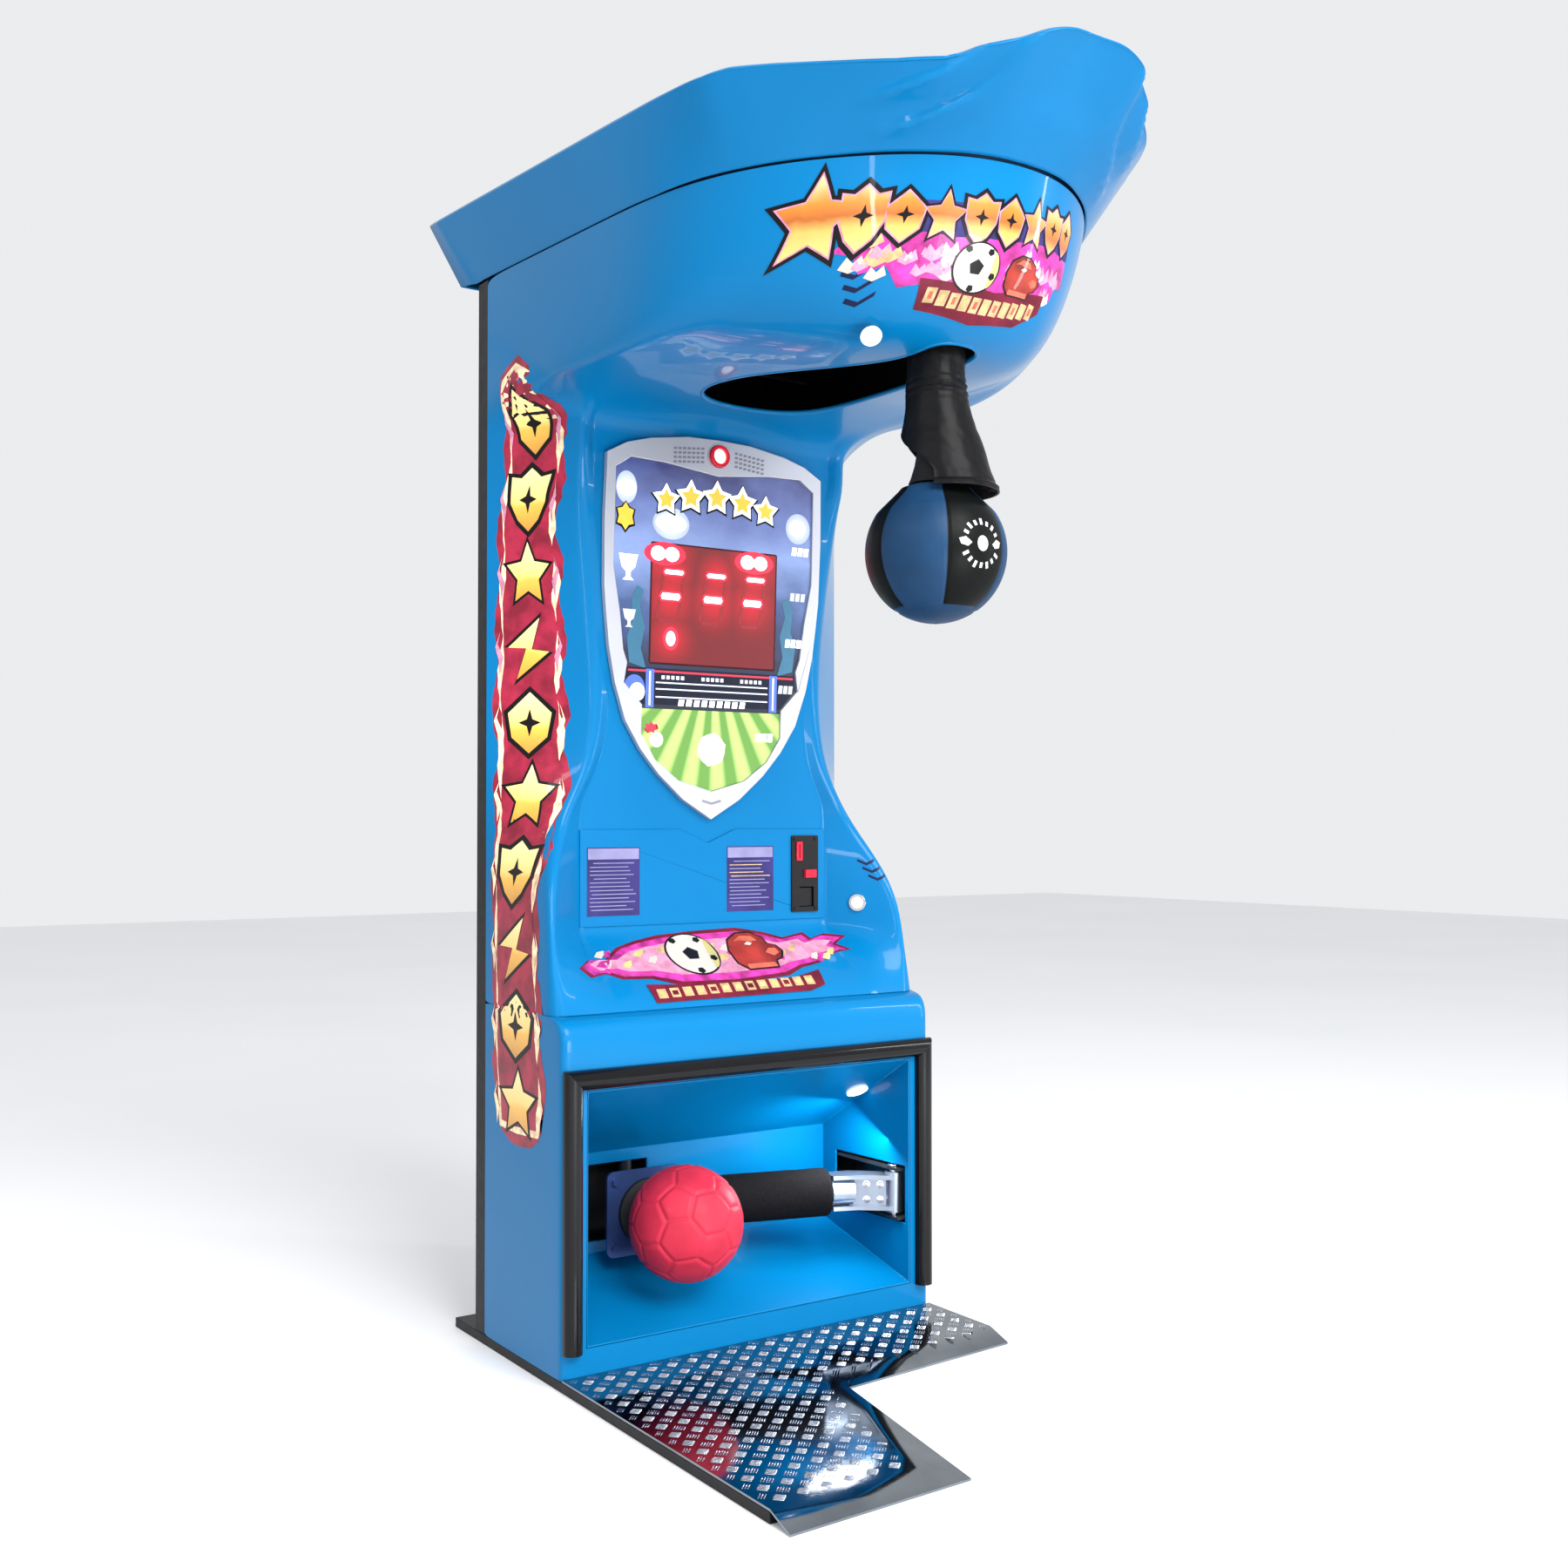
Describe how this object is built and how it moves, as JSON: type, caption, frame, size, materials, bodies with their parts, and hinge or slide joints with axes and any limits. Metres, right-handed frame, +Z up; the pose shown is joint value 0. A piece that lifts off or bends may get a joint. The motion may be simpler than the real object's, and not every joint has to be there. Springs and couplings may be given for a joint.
{
  "type": "boxing and kicking strength arcade machine",
  "caption": "Standing strength-test game with a moulded cabinet, an overhanging head with a swinging punch ball, a kick ball on a side-hinged arm in a low recess, and a lit score shield.",
  "frame": {"origin": "on the floor below the middle of the lower cabinet front face, on the centre plane", "axes": "+Z up, +X to the right seen by the player, -Y towards the player"},
  "size_m": [0.8858, 1.3463, 2.137],
  "materials": {
    "blue_gloss": "gloss",
    "black_board": "satin",
    "tread_aluminium": "satin",
    "black_rubber": "matte",
    "bumper_black": "gloss",
    "black_foam": "matte",
    "black_vinyl": "satin",
    "black_plastic": "satin",
    "silver_plastic": "satin",
    "display_art": "gloss",
    "display_glass": "gloss",
    "circuit_board": "satin",
    "red_plastic": "gloss",
    "lamp_white": "gloss",
    "ball_red": "satin",
    "ball_vinyl": "satin",
    "steel": "satin",
    "dark_steel": "satin",
    "cast_iron": "satin",
    "chrome": "polished"
  },
  "bodies": {
    "cabinet": {"base_board": "black_board", "tread_plate": "tread_aluminium", "lower_shell": "blue_gloss", "kick_tray": "blue_gloss", "upper_shell": "blue_gloss", "canopy": "blue_gloss", "canopy_seal": "black_rubber", "roof_board": "black_board", "rear_frame": "black_board", "door_hinge": "steel", "power_inlet": "black_plastic", "bumper_left": "bumper_black", "bumper_right": "bumper_black", "bumper_top": "bumper_black", "shield_frame": "silver_plastic", "shield_panel": "display_art", "display_window": "display_glass", "display_board": "circuit_board", "lamp_ring": "red_plastic", "lamp_lens": "lamp_white", "coin_panel": "blue_gloss", "coin_plate": "black_plastic", "coin_bezel": "red_plastic", "coin_mech": "black_plastic", "start_box_bezel": "chrome", "start_kick_bezel": "chrome", "recess_lamp": "lamp_white", "kick_bracket": "dark_steel", "kick_pin": "chrome", "kick_pocket": "black_plastic", "kick_latch": "dark_steel", "punch_frame": "dark_steel", "bearing_left": "cast_iron", "bearing_right": "cast_iron", "punch_latch": "dark_steel", "shelf_board": "black_board", "cash_box": "steel", "power_supply": "steel", "main_board": "circuit_board"},
    "door": {"rear_door": "black_board", "lock_barrel": "chrome"},
    "cam": {"lock_cam": "steel"},
    "punch_arm": {"punch_shaft": "chrome", "punch_hub": "steel", "punch_tube": "steel", "punch_sleeve": "black_vinyl", "punch_collar": "black_rubber", "punch_ball": "ball_vinyl"},
    "kick_arm": {"kick_ball": "ball_red", "kick_disc": "black_rubber", "kick_end_plate": "steel", "kick_tube": "steel", "kick_pad": "black_foam", "kick_hinge": "steel"},
    "punch_plunger": {"punch_latch_plunger": "chrome"},
    "kick_plunger": {"kick_latch_plunger": "chrome"},
    "box_button": {"start_box_button": "lamp_white"},
    "kick_button": {"start_kick_button": "lamp_white"},
    "coin_reject": {"reject_button": "red_plastic"},
    "coin_flap": {"return_flap": "black_plastic"}
  },
  "joints": [
    {"name": "punch_swing", "type": "hinge", "parent": "cabinet", "child": "punch_arm", "pos_m": [0, -0.507, 1.79], "axis": [1, 0, 0], "range_deg": [0, 90]},
    {"name": "kick_swing", "type": "hinge", "parent": "cabinet", "child": "kick_arm", "pos_m": [0.352, 0.05, 0.237], "axis": [0, 0, 1], "range_deg": [0, 28]},
    {"name": "punch_latch_slide", "type": "slide", "parent": "cabinet", "child": "punch_plunger", "axis": [-1, 0, 0], "range_m": [0, 0.01], "stiffness_N_per_m": 400},
    {"name": "kick_latch_slide", "type": "slide", "parent": "cabinet", "child": "kick_plunger", "axis": [0, 0, -1], "range_m": [0, 0.012], "stiffness_N_per_m": 400},
    {"name": "start_box_press", "type": "slide", "parent": "cabinet", "child": "box_button", "axis": [0.2997, 0.6594, 0.6894], "range_m": [0, 0.0035], "stiffness_N_per_m": 400},
    {"name": "start_kick_press", "type": "slide", "parent": "cabinet", "child": "kick_button", "axis": [0.7179, 0.6939, -0.057], "range_m": [0, 0.0035], "stiffness_N_per_m": 400},
    {"name": "coin_reject_press", "type": "slide", "parent": "cabinet", "child": "coin_reject", "axis": [0, 1, 0], "range_m": [0, 0.004], "stiffness_N_per_m": 400},
    {"name": "coin_flap_swing", "type": "hinge", "parent": "cabinet", "child": "coin_flap", "pos_m": [0.23, 0.1802, 0.833], "axis": [1, 0, 0], "range_deg": [0, 60]},
    {"name": "rear_door_swing", "type": "hinge", "parent": "cabinet", "child": "door", "pos_m": [0.3645, 0.3625, 1], "axis": [0, 0, -1], "range_deg": [0, 110]},
    {"name": "lock_cam_turn", "type": "hinge", "parent": "door", "child": "cam", "pos_m": [-0.33, 0.331, 0.8], "axis": [0, 1, 0], "range_deg": [0, 90]}
  ]
}
